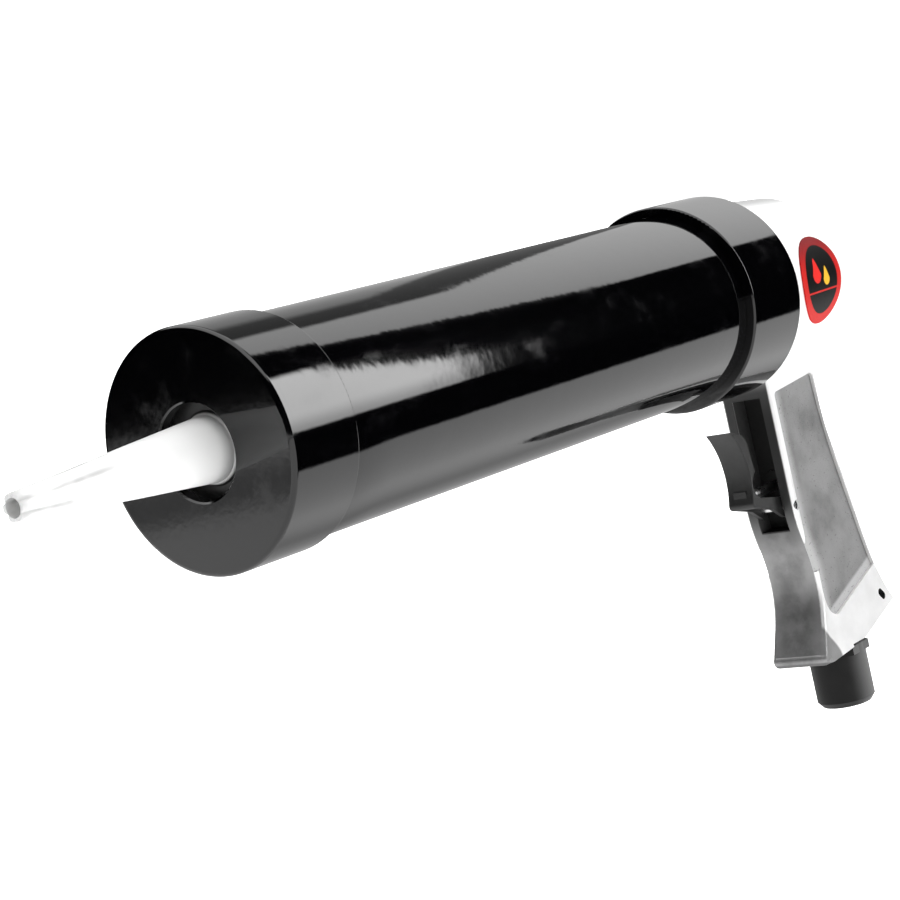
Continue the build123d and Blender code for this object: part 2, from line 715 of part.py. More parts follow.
with BuildPart() as inlet_bushing:
    with BuildSketch(Plane.XZ):
        with BuildLine():
            Polyline(
                (INLET_TAP_R, 0),
                (INLET_R - INLET_CHAMFER, 0),
                (INLET_R, INLET_CHAMFER + 0.3),
                (INLET_R, INLET_HEX_Z),
                (INLET_R, SPOTFACE_Z - INLET_SEAL),
                (STUB_R, SPOTFACE_Z - INLET_SEAL),
                (STUB_R, STUB_TOP_Z),
                (STUB_R - STUB_WALL, STUB_TOP_Z),
                (STUB_R - STUB_WALL, SCREEN_Z + SCREEN),
                (SCREEN_SEAT_R, SCREEN_Z + SCREEN),
                (SCREEN_SEAT_R, SCREEN_Z),
                (RELIEF_R, SCREEN_Z),
                (RELIEF_R, INLET_TAP_DEPTH),
                (INLET_TAP_R, INLET_TAP_DEPTH),
                close=True,
            )
        make_face()
    revolve(axis=Axis.Z)
    with BuildSketch(Plane.XY.offset(INLET_HEX_Z)):
        RegularPolygon(radius=INLET_HEX_R, side_count=6)
        Circle(INLET_R - 0.5, mode=Mode.SUBTRACT)
    extrude(amount=SPOTFACE_Z - INLET_SEAL - INLET_HEX_Z)
finish(inlet_bushing, "inlet_bushing")

with BuildPart() as inlet_seal:
    with BuildSketch(Plane.XY.offset(SPOTFACE_Z - INLET_SEAL)):
        Circle(INLET_R)
        Circle(STUB_R + 0.05, mode=Mode.SUBTRACT)
    extrude(amount=INLET_SEAL)
finish(inlet_seal, "inlet_seal")

with BuildPart() as inlet_screen:
    with BuildSketch(Plane.XY.offset(SCREEN_Z)):
        Circle(SCREEN_SEAT_R - THREAD_GAP)
        Circle(SCREEN_HOLE_R, mode=Mode.SUBTRACT)
        for ring in range(1, 3):
            with PolarLocations(ring * SCREEN_RING_STEP, 6 * ring):
                Circle(SCREEN_HOLE_R, mode=Mode.SUBTRACT)
    extrude(amount=SCREEN)
finish(inlet_screen, "inlet_screen")

# ---------------------------------------------------------------- regulator in the head

with BuildPart() as poppet_plug:
    plug_r = POPPET_BORE_R - THREAD_GAP
    revolve(
        turned(
            [
                (CHAMBER_FLOOR_X, 0),
                (CHAMBER_FLOOR_X, plug_r),
                (PLUG_RING_X - GROOVE_HALF, plug_r),
                (PLUG_RING_X - GROOVE_HALF, PLUG_GROOVE_R),
                (PLUG_RING_X + GROOVE_HALF, PLUG_GROOVE_R),
                (PLUG_RING_X + GROOVE_HALF, plug_r),
                (PLUG_REAR_X, plug_r),
                (PLUG_REAR_X, PLUG_RECESS_R),
                (PLUG_REAR_X - PLUG_RECESS, PLUG_RECESS_R),
                (PLUG_REAR_X - PLUG_RECESS, 0),
            ]
        ),
        axis=BARREL_AXIS,
    )
    with BuildSketch(Plane.YZ.offset(CHAMBER_FLOOR_X)):
        with Locations((0, AXIS_Z)):
            SlotOverall(PLUG_SLOT_LENGTH, PLUG_SLOT_WIDTH)
    extrude(amount=PLUG_SLOT_DEPTH, mode=Mode.SUBTRACT)
finish(poppet_plug, "poppet_plug")

with BuildPart() as plug_ring:
    revolve(o_ring_face(PLUG_RING_X, PLUG_RING_R, RING_CORD), axis=BARREL_AXIS)
finish(plug_ring, "plug_ring")

with BuildPart() as poppet:
    poppet_face_x = POPPET_BORE_END_X - POPPET_SEAL
    poppet_tail_x = poppet_face_x - POPPET_LENGTH
    revolve(
        turned(
            [
                (poppet_tail_x, 0),
                (poppet_tail_x, POPPET_GUIDE_R),
                (poppet_face_x - POPPET_HEAD, POPPET_GUIDE_R),
                (poppet_face_x - POPPET_HEAD, POPPET_R),
                (poppet_face_x, POPPET_R),
                (poppet_face_x, POPPET_STEM_R),
                (PISTON_FRONT_X - RUNNING_GAP, POPPET_STEM_R),
                (PISTON_FRONT_X - RUNNING_GAP, 0),
            ]
        ),
        axis=BARREL_AXIS,
    )
finish(poppet, "poppet")

with BuildPart() as poppet_seal:
    revolve(
        turned(ring_points(poppet_face_x, POPPET_BORE_END_X, POPPET_STEM_R, POPPET_R)),
        axis=BARREL_AXIS,
    )
finish(poppet_seal, "poppet_seal")

with BuildPart() as poppet_spring:
    add(coil_spring(PLUG_REAR_X - PLUG_RECESS + 0.1, poppet_face_x - POPPET_HEAD - 0.1, 3.6, 0.4, 6, AXIS_Z))
finish(poppet_spring, "poppet_spring")

with BuildPart() as regulator_piston:
    piston_r = PISTON_BORE_R - 0.08
    revolve(
        turned(
            [
                (PISTON_FRONT_X, 0),
                (PISTON_FRONT_X, piston_r),
                (PISTON_RING_X - GROOVE_HALF, piston_r),
                (PISTON_RING_X - GROOVE_HALF, PISTON_GROOVE_R),
                (PISTON_RING_X + GROOVE_HALF, PISTON_GROOVE_R),
                (PISTON_RING_X + GROOVE_HALF, piston_r),
                (PISTON_REAR_X, piston_r),
                (PISTON_REAR_X, PISTON_SEAT_R),
                (PISTON_SEAT_X, PISTON_SEAT_R),
                (PISTON_SEAT_X, 0),
            ]
        ),
        axis=BARREL_AXIS,
    )
finish(regulator_piston, "regulator_piston")

with BuildPart() as piston_ring:
    revolve(o_ring_face(PISTON_RING_X, PISTON_RING_R, RING_CORD), axis=BARREL_AXIS)
finish(piston_ring, "piston_ring")

with BuildPart() as regulator_spring:
    add(coil_spring(PISTON_SEAT_X + 0.1, BUTTON_FRONT_X - 0.1, 6.8, 0.8, 5, AXIS_Z))
finish(regulator_spring, "regulator_spring")

with BuildPart() as spring_button:
    revolve(
        turned(
            [
                (BUTTON_FRONT_X - BUTTON_NOSE, 0),
                (BUTTON_FRONT_X - BUTTON_NOSE, BUTTON_NOSE_R),
                (BUTTON_FRONT_X, BUTTON_NOSE_R + 0.6),
                (BUTTON_FRONT_X, BUTTON_R),
                (BUTTON_REAR_X, BUTTON_R),
                (BUTTON_REAR_X, 0),
            ]
        ),
        axis=BARREL_AXIS,
    )
finish(spring_button, "spring_button")

with BuildPart() as regulator_bonnet:
    bonnet_spigot_r = PISTON_BORE_R - THREAD_GAP
    revolve(
        turned(
            [
                (BONNET_FRONT_X, BONNET_BORE_R),
                (BONNET_FRONT_X, bonnet_spigot_r),
                (BONNET_FLANGE_X, bonnet_spigot_r),
                (BONNET_FLANGE_X, BONNET_R),
                (BONNET_REAR_X, BONNET_R),
                (BONNET_REAR_X, SCREW_R + THREAD_GAP),
                (BONNET_ROOF_X, SCREW_R + THREAD_GAP),
                (BONNET_ROOF_X, BONNET_BORE_R),
            ]
        ),
        axis=BARREL_AXIS,
    )
    with BuildSketch(Plane.YZ.offset(BONNET_FLANGE_X)):
        with Locations((0, AXIS_Z)):
            Circle(BONNET_R + 2)
            Rectangle(2 * BONNET_R + 6, BONNET_FLATS, mode=Mode.SUBTRACT)
    extrude(amount=BONNET_REAR_X - BONNET_FLANGE_X, mode=Mode.SUBTRACT)
finish(regulator_bonnet, "regulator_bonnet")

with BuildPart() as bonnet_seal:
    revolve(
        turned(ring_points(BOSS_REAR_X, BONNET_FLANGE_X, PISTON_BORE_R + 0.2, BONNET_SEAL_R)),
        axis=BARREL_AXIS,
    )
finish(bonnet_seal, "bonnet_seal")

with BuildPart() as regulator_screw:
    revolve(
        turned(
            [
                (BUTTON_REAR_X, 0),
                (BUTTON_REAR_X, SCREW_R - SCREW_CHAMFER),
                (BUTTON_REAR_X + SCREW_CHAMFER, SCREW_R),
                (SCREW_REAR_X, SCREW_R),
                (SCREW_REAR_X, KNOB_SCREW_R + THREAD_GAP),
                (SCREW_REAR_X - TAPPED_DEPTH, KNOB_SCREW_R + THREAD_GAP),
                (SCREW_REAR_X - TAPPED_DEPTH, 0),
            ]
        ),
        axis=BARREL_AXIS,
    )
finish(regulator_screw, "regulator_screw")

with BuildPart() as regulator_knob:
    knob_seat_x = KNOB_REAR_X - 1.6
    revolve(
        turned(
            [
                (KNOB_FRONT_X, SCREW_R + 0.03),
                (KNOB_FRONT_X, KNOB_R - SCREW_CHAMFER),
                (KNOB_FRONT_X + SCREW_CHAMFER, KNOB_R),
                (KNOB_REAR_X - KNOB_CHAMFER, KNOB_R),
                (KNOB_REAR_X, KNOB_R - KNOB_CHAMFER),
                (KNOB_REAR_X, KNOB_RECESS_R),
                (knob_seat_x, KNOB_RECESS_R),
                (knob_seat_x, KNOB_SCREW_R + 0.1),
                (SCREW_REAR_X + 0.05, KNOB_SCREW_R + 0.1),
                (SCREW_REAR_X + 0.05, SCREW_R + 0.03),
            ]
        ),
        axis=BARREL_AXIS,
    )
    flute_front_x = KNOB_FRONT_X + KNOB_CHAMFER
    with BuildSketch(Plane.YZ.offset(flute_front_x)):
        with Locations((0, AXIS_Z)):
            with PolarLocations(KNOB_R + 0.5, KNOB_FLUTES):
                Circle(FLUTE_R)
    extrude(amount=KNOB_REAR_X - flute_front_x, mode=Mode.SUBTRACT)
finish(regulator_knob, "regulator_knob")

with BuildPart() as knob_screw:
    head_rear_x = knob_seat_x + KNOB_SCREW_HEAD
    shank_front_x = SCREW_REAR_X - TAPPED_DEPTH + 1
    revolve(
        turned(
            [
                (shank_front_x, 0),
                (shank_front_x, KNOB_SCREW_R),
                (knob_seat_x, KNOB_SCREW_R),
                (knob_seat_x, KNOB_SCREW_HEAD_R),
                (head_rear_x - 0.4, KNOB_SCREW_HEAD_R),
                (head_rear_x, KNOB_SCREW_HEAD_R - 0.4),
                (head_rear_x, 0),
            ]
        ),
        axis=BARREL_AXIS,
    )
    with BuildSketch(Plane.YZ.offset(knob_seat_x + 0.6)):
        with Locations((0, AXIS_Z)):
            RegularPolygon(radius=KNOB_SCREW_SOCKET_R, side_count=6)
    extrude(amount=1.0, mode=Mode.SUBTRACT)
finish(knob_screw, "knob_screw")
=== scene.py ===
"""Looks for the air-powered caulking gun: materials, the pieces remade as meshes, light and camera."""

import json
import math

import bmesh
import bpy
from mathutils import Euler, Matrix, Vector


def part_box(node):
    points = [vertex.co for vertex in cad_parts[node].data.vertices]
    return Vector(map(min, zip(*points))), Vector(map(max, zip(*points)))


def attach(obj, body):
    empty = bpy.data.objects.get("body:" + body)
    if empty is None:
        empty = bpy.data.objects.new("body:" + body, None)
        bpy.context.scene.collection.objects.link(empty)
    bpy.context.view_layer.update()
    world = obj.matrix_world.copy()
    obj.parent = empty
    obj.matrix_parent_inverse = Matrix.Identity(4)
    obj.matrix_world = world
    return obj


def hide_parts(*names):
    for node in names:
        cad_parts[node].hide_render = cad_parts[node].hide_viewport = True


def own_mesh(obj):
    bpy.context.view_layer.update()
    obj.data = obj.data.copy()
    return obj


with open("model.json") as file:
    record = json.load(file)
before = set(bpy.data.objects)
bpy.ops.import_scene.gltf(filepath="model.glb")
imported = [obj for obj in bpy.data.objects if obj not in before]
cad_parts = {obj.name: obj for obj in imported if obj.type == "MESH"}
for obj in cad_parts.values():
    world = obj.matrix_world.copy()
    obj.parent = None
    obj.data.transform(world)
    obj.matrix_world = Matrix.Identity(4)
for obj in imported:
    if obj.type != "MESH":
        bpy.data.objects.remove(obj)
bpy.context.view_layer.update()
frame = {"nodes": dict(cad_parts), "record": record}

MM = 0.001
NODES = frame["nodes"]
barrel_low, barrel_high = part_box("barrel")
AXIS_Z = (barrel_low.z + barrel_high.z) / 2
BARREL_R = (barrel_high.z - barrel_low.z) / 2
FLUTES = 6


# ---------------------------------------------------------------- node helpers


def add_node(tree, kind, inputs=None, **settings):
    """Adds a shader node. Each input is a value, or a socket to link from."""
    node = tree.nodes.new(kind)
    for key, value in settings.items():
        setattr(node, key, value)
    for key, value in (inputs or {}).items():
        if isinstance(value, bpy.types.NodeSocket):
            tree.links.new(value, node.inputs[key])
        else:
            node.inputs[key].default_value = value
    return node


def calc(tree, operation, *values):
    """One Math node's result."""
    return add_node(tree, "ShaderNodeMath", dict(enumerate(values)), operation=operation).outputs[0]


def step(tree, value, low, high):
    """A smooth step from 0 at low to 1 at high."""
    inputs = {"Value": value, "From Min": low, "From Max": high}
    return add_node(tree, "ShaderNodeMapRange", inputs, interpolation_type="SMOOTHSTEP").outputs[0]


def within(tree, value, low, high, soft):
    """1 between low and high, with soft edges."""
    rise = step(tree, value, low - soft, low + soft)
    fall = step(tree, value, high + soft, high - soft)
    return product(tree, rise, fall)


def product(tree, *values):
    """Several numbers multiplied together: where several masks overlap."""
    result = values[0]
    for value in values[1:]:
        result = calc(tree, "MULTIPLY", result, value)
    return result


def reach(tree, across, up):
    """The length of a step across and a step up."""
    return calc(tree, "SQRT", calc(tree, "ADD", product(tree, across, across), product(tree, up, up)))


def blend(tree, share, start, end):
    """A number or colour between start and end."""
    coloured = any(isinstance(v, tuple) or getattr(v, "type", "") == "RGBA" for v in (start, end))
    node = add_node(tree, "ShaderNodeMix", data_type="RGBA" if coloured else "FLOAT")
    sockets = [s for s in node.inputs if s.enabled]
    for socket, value in zip(sockets, (share, start, end)):
        if isinstance(value, bpy.types.NodeSocket):
            tree.links.new(value, socket)
        else:
            socket.default_value = value
    return next(s for s in node.outputs if s.enabled)


def grey(level):
    """A neutral colour."""
    return (level, level, level, 1.0)


def noise(tree, position, scale, detail=3.0, roughness=0.5, stretch=None):
    """Noise from 0 to 1 over the piece's own coordinates, scale in cells per metre."""
    vector = position
    if stretch:
        vector = add_node(tree, "ShaderNodeMapping", {"Vector": position, "Scale": stretch}).outputs[0]
    inputs = {"Vector": vector, "Scale": scale, "Detail": detail, "Roughness": roughness}
    return add_node(tree, "ShaderNodeTexNoise", inputs).outputs["Fac"]


def bump(tree, height, distance, normal=None):
    """A bump of that height in metres."""
    inputs = {"Height": height, "Distance": distance, "Strength": 1.0}
    if normal is not None:
        inputs["Normal"] = normal
    return add_node(tree, "ShaderNodeBump", inputs).outputs[0]


def start_material(name, **values):
    """A new material with its shader's plain values set. Returns it with its tree, shader and coordinates."""
    material = bpy.data.materials.new(name)
    material.use_nodes = True
    tree = material.node_tree
    shader = tree.nodes["Principled BSDF"]
    for key, value in values.items():
        shader.inputs[key.replace("_", " ").title().replace("Ior", "IOR")].default_value = value
    coordinates = add_node(tree, "ShaderNodeTexCoord")
    return material, tree, shader, coordinates


def split(tree, vector):
    """The three parts of a vector."""
    return add_node(tree, "ShaderNodeSeparateXYZ", {0: vector}).outputs


def feed(tree, shader, **inputs):
    """Links sockets to the shader's inputs."""
    for key, socket in inputs.items():
        tree.links.new(socket, shader.inputs[key.replace("_", " ").title()])


# ---------------------------------------------------------------- materials


def black_lacquer():
    """Deep gloss lacquer: faint orange peel, with haze and handling smudges in the gloss."""
    material, tree, shader, at = start_material("black_lacquer", ior=1.5)
    place = at.outputs["Object"]
    smudge = step(tree, noise(tree, place, 90, 5, 0.65, (0.6, 1, 1)), 0.52, 0.72)
    streak = noise(tree, place, 420, 2, 0.5, (0.05, 1, 1))
    haze = calc(tree, "ADD", product(tree, smudge, 0.07), product(tree, streak, 0.03))
    colour = blend(tree, smudge, (0.0006, 0.0006, 0.0008, 1), (0.003, 0.003, 0.0034, 1))
    peel = bump(tree, noise(tree, place, 620, 2, 0.4), 0.003 * MM)

    # the tube's round side waves a little more than the flat end faces
    end_on = calc(tree, "ABSOLUTE", split(tree, at.outputs["Normal"])[0])
    waviness = calc(tree, "ADD", step(tree, end_on, 0.5, 0.2), 0.15)
    waves = bump(tree, product(tree, noise(tree, place, 160, 2, 0.5), waviness), 0.016 * MM, normal=peel)
    feed(tree, shader, base_color=colour, roughness=calc(tree, "ADD", haze, 0.035), normal=waves)
    return material


def cast_alloy():
    """Sand-cast aluminium: buffed rims and head, rough sunken side panels, a brushed finger face, with
    painted highlights and painted shade in its colour.
    """
    material, tree, shader, at = start_material("cast_alloy")
    place = at.outputs["Object"]
    x, y, z = split(tree, place)[:3]
    normal_x, normal_y, normal_z = split(tree, at.outputs["Normal"])[:3]
    side = calc(tree, "ABSOLUTE", y)
    sideways = calc(tree, "ABSOLUTE", normal_y)

    # the places on the casting that have their own finish, and the trigger slot and hole walls that get
    # painted shade
    low_down = step(tree, z, 112 * MM, 100 * MM)
    head = step(tree, z, 98 * MM, 106 * MM)
    panel = product(tree, step(tree, sideways, 0.75, 0.93), step(tree, side, 8.3 * MM, 7.9 * MM), low_down)
    finger = product(tree, step(tree, x, -13.0 * MM, -14.5 * MM), low_down, step(tree, sideways, 0.60, 0.25))
    slot_shade = product(
        tree,
        step(tree, side, 5.0 * MM, 4.7 * MM),
        within(tree, x, -20.5 * MM, -13.3 * MM, 0.3 * MM),
        within(tree, z, 58.0 * MM, 99.0 * MM, 0.3 * MM),
    )
    hole_x, hole_z = 19.0 * MM, 28.6 * MM
    from_hole_x = calc(tree, "ABSOLUTE", calc(tree, "SUBTRACT", x, hole_x))
    from_hole_z = calc(tree, "ABSOLUTE", calc(tree, "SUBTRACT", z, hole_z))
    near_hole = step(tree, calc(tree, "MAXIMUM", from_hole_x, from_hole_z), 3.2 * MM, 3.0 * MM)
    hole_shade = product(tree, near_hole, step(tree, sideways, 0.6, 0.4))
    dark = calc(tree, "MAXIMUM", slot_shade, hole_shade)

    mottle = noise(tree, place, 130, 4, 0.6)
    patches = noise(tree, place, 48, 3, 0.5)
    grain = noise(tree, place, 2600, 3, 0.6)
    pits = step(tree, noise(tree, place, 1500, 2, 0.5), 0.66, 0.74)
    mottled = step(tree, mottle, 0.3, 0.7)

    # the panel is painted lighter towards its front rim and along its foot, as a painted highlight
    front_rim = blend(tree, step(tree, z, 62 * MM, 44 * MM), -18.3 * MM, -14.7 * MM)
    from_front = calc(tree, "SUBTRACT", x, front_rim)
    foot_slope, foot_z = 0.33, 32.5 * MM
    above_foot = calc(tree, "SUBTRACT", calc(tree, "SUBTRACT", z, foot_z), product(tree, x, foot_slope))
    near_front = step(tree, from_front, 5.8 * MM, 0.4 * MM)
    near_foot = step(tree, above_foot, 3.6 * MM, 2.2 * MM)
    edge_highlight = product(tree, calc(tree, "MAXIMUM", near_front, near_foot), 0.85)
    panel_tone = blend(tree, mottled, grey(0.13), grey(0.22))
    panel_tone = blend(tree, step(tree, patches, 0.35, 0.65), panel_tone, grey(0.27))
    panel_tone = blend(tree, edge_highlight, panel_tone, grey(0.50))

    # the finger face is painted paler at its sides as a painted highlight, and dark beside the trigger as
    # painted shade
    finger_tone = blend(tree, mottled, grey(0.15), grey(0.25))
    side_highlight = product(tree, step(tree, side, 3.0 * MM, 7.8 * MM), 0.5)
    finger_tone = blend(tree, side_highlight, finger_tone, grey(0.34))
    finger_tone = blend(tree, step(tree, z, 46 * MM, 68 * MM), finger_tone, grey(0.05))

    # rims and head are bright; the far and rear faces are painted darker as painted shade
    rim_tone = blend(tree, mottled, grey(0.84), grey(0.90))
    shaded_facing = calc(tree, "ADD", product(tree, normal_x, 0.78), product(tree, normal_y, 0.62))
    rim_tone = blend(tree, step(tree, shaded_facing, 0.15, 0.60), rim_tone, grey(0.50))

    colour = blend(tree, panel, rim_tone, panel_tone)
    colour = blend(tree, finger, colour, finger_tone)
    colour = blend(tree, product(tree, pits, panel), colour, grey(0.12))
    # painted shade on the head's upper faces where they turn away from view
    turning_away = add_node(tree, "ShaderNodeLayerWeight", {"Blend": 0.5}).outputs["Facing"]
    head_edge_shade = product(tree, step(tree, turning_away, 0.72, 0.88), step(tree, normal_z, 0.1, 0.4), head, 0.8)
    colour = blend(tree, head_edge_shade, colour, grey(0.30))
    wrap_edge = blend(tree, step(tree, z, 29.0 * MM, 17.5 * MM), -18.8 * MM, -12.5 * MM)
    before_edge = step(tree, calc(tree, "SUBTRACT", x, wrap_edge), 0.6 * MM, -0.6 * MM)
    toe_wrap = product(tree, before_edge, step(tree, z, 36 * MM, 31 * MM))
    colour = blend(tree, toe_wrap, colour, finger_tone)
    # painted shade on the downward faces near the foot
    underside_shade = product(tree, step(tree, normal_z, -0.25, -0.60), step(tree, z, 35 * MM, 32 * MM))
    colour = blend(tree, underside_shade, colour, grey(0.10))
    # painted shade: the trigger slot and the hole walls are painted near-black, dull and not metallic
    colour = blend(tree, dark, colour, grey(0.006))

    rough = blend(tree, panel, 0.34, 0.62)
    rough = blend(tree, finger, rough, 0.40)
    rough = calc(tree, "ADD", rough, product(tree, mottle, 0.10))
    rough = blend(tree, dark, rough, 0.9)
    metal = blend(tree, head, 0.75, 0.35)
    metal = blend(tree, dark, metal, 0.0)
    relief = product(tree, calc(tree, "SUBTRACT", grain, pits), blend(tree, panel, 0.15, 1.0))
    coarse = 0.1 * MM
    feed(
        tree,
        shader,
        base_color=colour,
        roughness=rough,
        metallic=metal,
        normal=bump(tree, relief, coarse),
    )
    return material


def turned_metal(name, colour, worn, rough, metallic=1.0):
    """Metal turned on a lathe: fine rings along its length, duller where handled, with painted shade
    darkening it where it turns away from view.
    """
    material, tree, shader, at = start_material(name, metallic=metallic)
    place = at.outputs["Object"]
    rings = noise(tree, place, 2400, 2, 0.5, (1, 0.02, 0.02))
    wear = step(tree, noise(tree, place, 170, 4, 0.6), 0.4, 0.7)
    turning_away = add_node(tree, "ShaderNodeLayerWeight", {"Blend": 0.5}).outputs["Facing"]
    tone = blend(tree, wear, colour, worn)
    # painted shade where the surface turns away from view
    outline_shade = product(tree, step(tree, turning_away, 0.72, 0.90), 0.8)
    tone = blend(tree, outline_shade, tone, grey(0.12))
    roughness = calc(tree, "ADD", product(tree, wear, 0.12), rough)
    feed(tree, shader, base_color=tone, roughness=roughness, normal=bump(tree, rings, 0.02 * MM))
    return material


def satin_black(name, level, rough, grain_size, specular, lit_side_level=0.0):
    """Black painted or blackened metal with a fine satin grain, and if asked a painted highlight making one
    side paler.
    """
    material, tree, shader, at = start_material(name, specular_ior_level=specular)
    place = at.outputs["Object"]
    cloud = noise(tree, place, 140, 4, 0.6)
    grain = noise(tree, place, 1 / grain_size, 3, 0.6)
    rubbed = step(tree, cloud, 0.35, 0.75)
    tone = blend(tree, rubbed, grey(level), grey(level * 1.7))
    if lit_side_level:
        # painted light: faces turned towards one side are painted paler
        normal_x, normal_y = split(tree, at.outputs["Normal"])[:2]
        lit_side_facing = calc(tree, "SUBTRACT", product(tree, normal_x, 0.59), product(tree, normal_y, 0.77))
        tone = blend(tree, step(tree, lit_side_facing, 0.1, 1.0), tone, grey(lit_side_level))
    roughness = calc(tree, "ADD", product(tree, cloud, 0.14), rough)
    feed(tree, shader, base_color=tone, roughness=roughness, normal=bump(tree, grain, 0.03 * MM))
    return material


def nozzle_plastic():
    """Natural polyethylene: milky and slightly see-through, with painted shade at its root, along its flutes
    and on its end plate.
    """
    material, tree, shader, at = start_material(
        "nozzle_plastic", subsurface_weight=0.2, subsurface_scale=2 * MM
    )
    shader.inputs["Subsurface Radius"].default_value = (1.0, 1.0, 0.95)
    place = at.outputs["Object"]
    x, y, z = split(tree, place)[:3]
    rise = calc(tree, "SUBTRACT", z, AXIS_Z)
    angle = calc(tree, "ARCTAN2", y, rise)
    flow = noise(tree, place, 260, 3, 0.5, (0.15, 1, 1))
    # painted shade: greyer towards the root
    tone = blend(tree, step(tree, x, -262 * MM, -246 * MM), (0.82, 0.82, 0.815, 1), (0.62, 0.62, 0.615, 1))
    tone = blend(tree, product(tree, flow, 0.25), tone, (0.70, 0.71, 0.72, 1))

    # broken grey lines of painted shade along the valleys between the flutes, a greyer cut end, and painted
    # shadow on the end plate
    swing = calc(tree, "COSINE", product(tree, angle, FLUTES / 2))
    valley = calc(tree, "POWER", calc(tree, "ABSOLUTE", swing), 5.0)
    fluted = step(tree, x, -272 * MM, -284 * MM)
    broken = step(tree, noise(tree, place, 150, 2, 0.5, (0.6, 1, 1)), 0.34, 0.52)
    tone = blend(tree, product(tree, valley, fluted, broken, 0.60), tone, grey(0.16))
    tone = blend(tree, product(tree, step(tree, x, -301.0 * MM, -304.5 * MM), 0.8), tone, grey(0.44))
    outside_root = step(tree, reach(tree, y, rise), 7.9 * MM, 8.4 * MM)
    end_plate = product(tree, outside_root, step(tree, x, -247.0 * MM, -245.5 * MM))
    tone = blend(tree, end_plate, tone, grey(0.012))
    roughness = calc(tree, "ADD", product(tree, flow, 0.14), 0.28)
    feed(tree, shader, base_color=tone, roughness=roughness, normal=bump(tree, flow, 0.05 * MM))
    return material


def plain_plastic(name, colour, other, rough):
    """Moulded plastic or rubber with a cloudy tone and a fine moulded grain."""
    material, tree, shader, at = start_material(name)
    place = at.outputs["Object"]
    cloud = noise(tree, place, 200, 3, 0.5)
    grain = noise(tree, place, 2200, 2, 0.5)
    roughness = calc(tree, "ADD", product(tree, cloud, 0.12), rough)
    feed(
        tree,
        shader,
        base_color=blend(tree, cloud, colour, other),
        roughness=roughness,
        normal=bump(tree, grain, 0.03 * MM),
    )
    return material


def label_print():
    """A round printed label: red border, black field, one thin red line and two sealant drops."""
    material, tree, shader, at = start_material("label_print", specular_ior_level=0.06)
    place = at.outputs["Object"]
    low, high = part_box("side_label")
    centre = (low + high) / 2
    radius = (high.x - low.x) / 2
    x, _, z = split(tree, place)[:3]
    across = calc(tree, "DIVIDE", calc(tree, "SUBTRACT", x, centre.x), radius)
    upward = calc(tree, "DIVIDE", calc(tree, "SUBTRACT", z, centre.z), radius)

    def from_drop(centre_across, centre_up, squeeze):
        """Distance from a drop's centre in label radii, drawn in above it to make the drop's point."""
        side = calc(tree, "SUBTRACT", across, centre_across)
        rise = calc(tree, "SUBTRACT", upward, centre_up)
        pinch = calc(tree, "ADD", product(tree, calc(tree, "MAXIMUM", rise, 0.0), squeeze), 1.0)
        stretch = calc(tree, "SUBTRACT", 1.0, product(tree, calc(tree, "GREATER_THAN", rise, 0.0), 0.45))
        return reach(tree, product(tree, side, pinch), product(tree, rise, stretch))

    flat = reach(tree, across, upward)
    speckle = noise(tree, place, 1500, 3, 0.6)
    fade = step(tree, upward, 0.1, 0.95)
    red = blend(tree, fade, (0.47, 0.013, 0.010, 1), (0.16, 0.006, 0.008, 1))
    red = blend(tree, product(tree, speckle, 0.35), red, (0.20, 0.004, 0.004, 1))
    black = blend(tree, speckle, grey(0.0008), grey(0.002))
    colour = blend(tree, step(tree, flat, 0.775, 0.795), black, red)
    line = within(tree, upward, -0.30, -0.26, 0.008)
    colour = blend(tree, line, colour, red)
    big_drop = step(tree, from_drop(-0.24, 0.12, 3.4), 0.215, 0.195)
    colour = blend(tree, big_drop, colour, (0.55, 0.018, 0.014, 1))
    small_drop = step(tree, from_drop(0.22, -0.02, 4.2), 0.165, 0.145)
    colour = blend(tree, small_drop, colour, (0.62, 0.34, 0.02, 1))
    feed(
        tree,
        shader,
        base_color=colour,
        roughness=calc(tree, "ADD", product(tree, speckle, 0.1), 0.32),
        normal=bump(tree, speckle, 0.01 * MM),
    )
    return material


FINISHES = {
    "black_lacquer": black_lacquer(),
    "cast_alloy": cast_alloy(),
    "turned_alloy": turned_metal("turned_alloy", grey(0.90), grey(0.80), 0.42, metallic=0.55),
    "black_trigger": satin_black("black_trigger", 0.009, 0.42, 0.35 * MM, 0.4),
    "black_fitting": satin_black("black_fitting", 0.005, 0.42, 0.25 * MM, 0.2, lit_side_level=0.10),
    "nozzle_plastic": nozzle_plastic(),
    "cartridge_wall": plain_plastic("cartridge_wall", grey(0.62), grey(0.74), 0.42),
    "rubber": plain_plastic("rubber", grey(0.012), grey(0.026), 0.62),
    "brass": turned_metal("brass", (0.72, 0.50, 0.20, 1), (0.58, 0.38, 0.15, 1), 0.28),
    "steel": turned_metal("steel", grey(0.58), grey(0.44), 0.26),
    "spring_steel": turned_metal("spring_steel", grey(0.46), grey(0.34), 0.32),
    "label_print": label_print(),
}

SLOT_OF_NODE = {part["node"]: part["material_slot"] for part in frame["record"]["subparts"]}


def paint(piece, slot):
    """Gives a piece one of the finishes in all its slots."""
    piece.data.materials.clear()
    piece.data.materials.append(FINISHES[slot])


# ---------------------------------------------------------------- meshes


def new_piece(name, mesh, body, slot, *replaced):
    """A smooth-shaded piece on a body, with its finish, standing for its CAD nodes."""
    piece = bpy.data.objects.new(name, mesh)
    bpy.context.scene.collection.objects.link(piece)
    mesh.shade_smooth()
    paint(piece, slot)
    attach(piece, body)
    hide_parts(*replaced)
    return piece


def skin(mesh_data, rings):
    """Faces between each ring of points and the next."""
    for ring, following in zip(rings, rings[1:]):
        for side, point in enumerate(ring):
            beside = (side + 1) % len(ring)
            mesh_data.faces.new((point, ring[beside], following[beside], following[side]))


